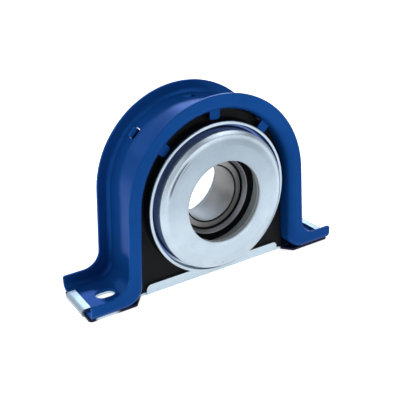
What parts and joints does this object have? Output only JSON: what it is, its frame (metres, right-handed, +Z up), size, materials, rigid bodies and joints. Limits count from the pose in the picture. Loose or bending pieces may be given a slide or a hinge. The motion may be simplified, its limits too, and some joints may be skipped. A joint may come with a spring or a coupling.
{
  "type": "driveshaft centre bearing",
  "caption": "Sealed ball bearing held in a rubber cushion inside a pressed channel bracket with slotted feet and a plated strap below.",
  "frame": {"origin": "on the axis of the bore, in the middle plane of the bracket", "axes": "+Y along the shaft towards the rear, +X from foot to foot, +Z up from the base towards the arch"},
  "size_m": [0.232, 0.066, 0.1496],
  "materials": {
    "blue_paint": "satin",
    "zinc_plate": "satin",
    "cushion_rubber": "matt",
    "seal_rubber": "matt",
    "bearing_steel": "ground"
  },
  "bodies": {
    "housing": {"bracket": "blue_paint", "base_strap": "zinc_plate", "rubber_cushion": "cushion_rubber", "front_retainer": "zinc_plate", "rear_retainer": "zinc_plate", "front_dust_shield": "zinc_plate", "rear_dust_shield": "zinc_plate", "front_seal_case": "zinc_plate", "rear_seal_case": "zinc_plate", "front_lip_seal": "seal_rubber", "rear_lip_seal": "seal_rubber", "front_bearing_seal": "seal_rubber", "rear_bearing_seal": "seal_rubber", "outer_ring": "bearing_steel"},
    "inner_race": {"inner_ring": "bearing_steel", "front_flinger": "zinc_plate", "rear_flinger": "zinc_plate"},
    "cage": {"balls": "bearing_steel", "cage_rivets": "bearing_steel", "front_cage_half": "bearing_steel", "rear_cage_half": "bearing_steel"}
  },
  "joints": [
    {"name": "inner_spin", "type": "hinge", "parent": "housing", "child": "inner_race", "pos_m": [0, 0, 0], "axis": [0, 1, 0], "continuous": true},
    {"name": "cage_spin", "type": "hinge", "parent": "housing", "child": "cage", "pos_m": [0, 0, 0], "axis": [0, 1, 0], "continuous": true}
  ],
  "couplings": [
    {"joint": "cage_spin", "follows": "inner_spin", "ratio": 0.4023}
  ]
}
